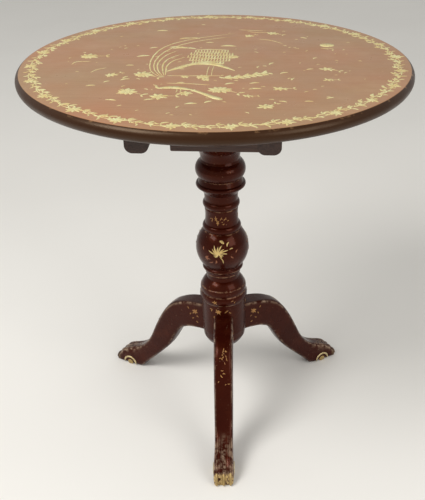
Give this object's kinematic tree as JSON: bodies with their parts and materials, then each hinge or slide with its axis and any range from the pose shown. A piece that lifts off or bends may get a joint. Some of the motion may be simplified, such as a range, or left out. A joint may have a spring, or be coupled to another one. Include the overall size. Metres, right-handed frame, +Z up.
{
  "type": "tilt top table",
  "caption": "Round lacquered tripod table whose top turns and tilts upright on a pillared block, with a turned column and cabriole legs on carved paw feet.",
  "frame": {"origin": "on the floor under the centre of the round top", "axes": "+Z up; +Y towards the hinge side, so the edge at -Y rises; the hinge axis runs along X"},
  "size_m": [0.6799, 0.68, 0.72],
  "materials": {
    "lacquer_top": "gloss lacquer with gilt decoration",
    "lacquer_stem": "gloss dark lacquer with gilt decoration",
    "lacquer_legs": "gloss dark lacquer with gilt claws",
    "bearer_wood": "dark stained, satin",
    "cage_wood": "dark stained, satin",
    "key_wood": "waxed hardwood",
    "brass": "aged brass",
    "iron": "dull iron"
  },
  "bodies": {
    "base": {"column": "lacquer_stem", "leg_front": "lacquer_legs", "leg_left": "lacquer_legs", "leg_right": "lacquer_legs", "pendant_drop": "lacquer_stem"},
    "cage": {"cage_upper_plate": "cage_wood", "cage_lower_plate": "cage_wood", "cage_pillar_1": "cage_wood", "cage_pillar_2": "cage_wood", "cage_pillar_3": "cage_wood", "cage_pillar_4": "cage_wood", "pivot_pin_left": "iron", "pivot_pin_right": "iron", "cage_collar": "cage_wood", "keeper_plate": "brass", "keeper_screws": "brass"},
    "top": {"table_top": "lacquer_top", "bearer_left": "bearer_wood", "bearer_right": "bearer_wood", "bearer_screws": "iron", "latch_plate": "brass", "latch_case": "brass", "latch_screws": "brass"},
    "bolt": {"latch_bolt": "brass", "latch_knob": "brass"},
    "key": {"wedge_key": "key_wood"}
  },
  "joints": [
    {"name": "cage_swivel", "type": "hinge", "parent": "base", "child": "cage", "pos_m": [0, 0, 0.592], "axis": [0, 0, 1], "continuous": true},
    {"name": "top_tilt", "type": "hinge", "parent": "cage", "child": "top", "pos_m": [0, 0.064, 0.6826], "axis": [-1, 0, 0], "range_deg": [0, 90]},
    {"name": "bolt_slide", "type": "slide", "parent": "top", "child": "bolt", "axis": [0, 1, 0], "range_m": [0, 0.008]},
    {"name": "key_slide", "type": "slide", "parent": "base", "child": "key", "axis": [0, -1, 0], "range_m": [0, 0.036]}
  ]
}
